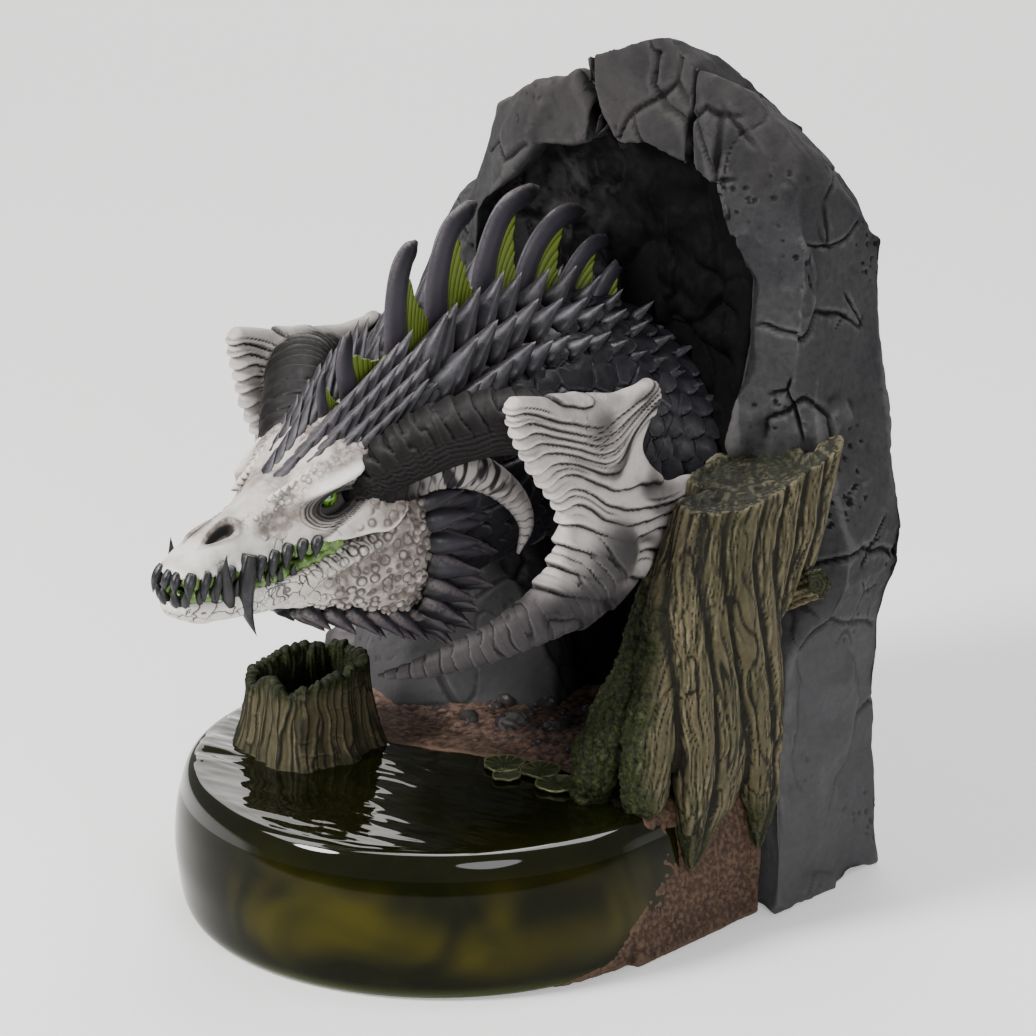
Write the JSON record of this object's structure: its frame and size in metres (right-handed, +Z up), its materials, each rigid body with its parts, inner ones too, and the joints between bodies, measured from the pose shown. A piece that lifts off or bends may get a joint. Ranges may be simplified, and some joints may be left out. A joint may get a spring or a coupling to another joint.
{
  "type": "dice tower",
  "caption": "Dice tower sculpted as a horned dragon leaning out of a rock cave over a swamp pond; dice drop in behind the ridge and roll out under its neck.",
  "frame": {"origin": "centre of the base's footprint, on the table", "axes": "+Z up, -Y the way the dragon looks, +X to the dragon's left"},
  "size_m": [0.1765, 0.2184, 0.256],
  "materials": {
    "earth": "brown granular earth texture",
    "water_resin": "clear cast resin tinted dark olive, polished",
    "rock": "cast resin painted as dark grey chiselled rock",
    "inner_plastic": "plain dark moulded plastic",
    "screw_steel": "plain steel",
    "stump_bark": "painted as olive brown bark",
    "lily_pad": "dull green paint",
    "stone": "grey stone paint",
    "tree_bark": "painted as khaki bark with dark grooves",
    "mossy_root": "bark paint with green moss flock",
    "dark_hide": "charcoal hide paint, satin",
    "belly": "warm charcoal paint, satin",
    "dark_spike": "charcoal horn paint with pale dry-brushed edges, satin",
    "fin": "yellow-green paint, satin",
    "bone": "ivory bone paint with brown wash",
    "gum": "green paint, glossy",
    "tooth": "black-grey paint, semi-gloss",
    "eye": "bright green, glossy",
    "horn": "weathered horn paint with dark grooves",
    "cheek_horn": "dark ribbed horn paint with pale tip"
  },
  "bodies": {
    "root": {"earth_base": "earth", "pond": "water_resin", "rock_left": "rock", "rock_crown": "rock", "rock_right": "rock", "back_panel": "inner_plastic", "back_screws": "screw_steel", "hopper_funnel": "inner_plastic", "chute_wall": "inner_plastic", "baffle_upper": "inner_plastic", "baffle_middle": "inner_plastic", "baffle_lower": "inner_plastic", "exit_ramp": "inner_plastic", "stump_hollow": "stump_bark", "lily_pads": "lily_pad", "shore_stones": "stone", "tree_trunk": "tree_bark", "tree_roots": "mossy_root", "branch_stub": "tree_bark", "neck": "dark_hide", "belly_plates": "belly", "neck_scales": "dark_hide", "neck_spikes": "dark_spike", "dorsal_spines": "dark_spike", "fin_membranes": "fin", "skull": "bone", "lower_jaw": "bone", "gums": "gum", "upper_teeth": "tooth", "lower_teeth": "tooth", "fangs": "tooth", "eye_left": "eye", "eye_right": "eye", "crest_plates": "dark_spike", "jaw_spikes": "dark_spike", "horn_left": "horn", "horn_right": "horn", "cheek_horn_left": "cheek_horn", "cheek_horn_right": "cheek_horn"}
  },
  "joints": []
}
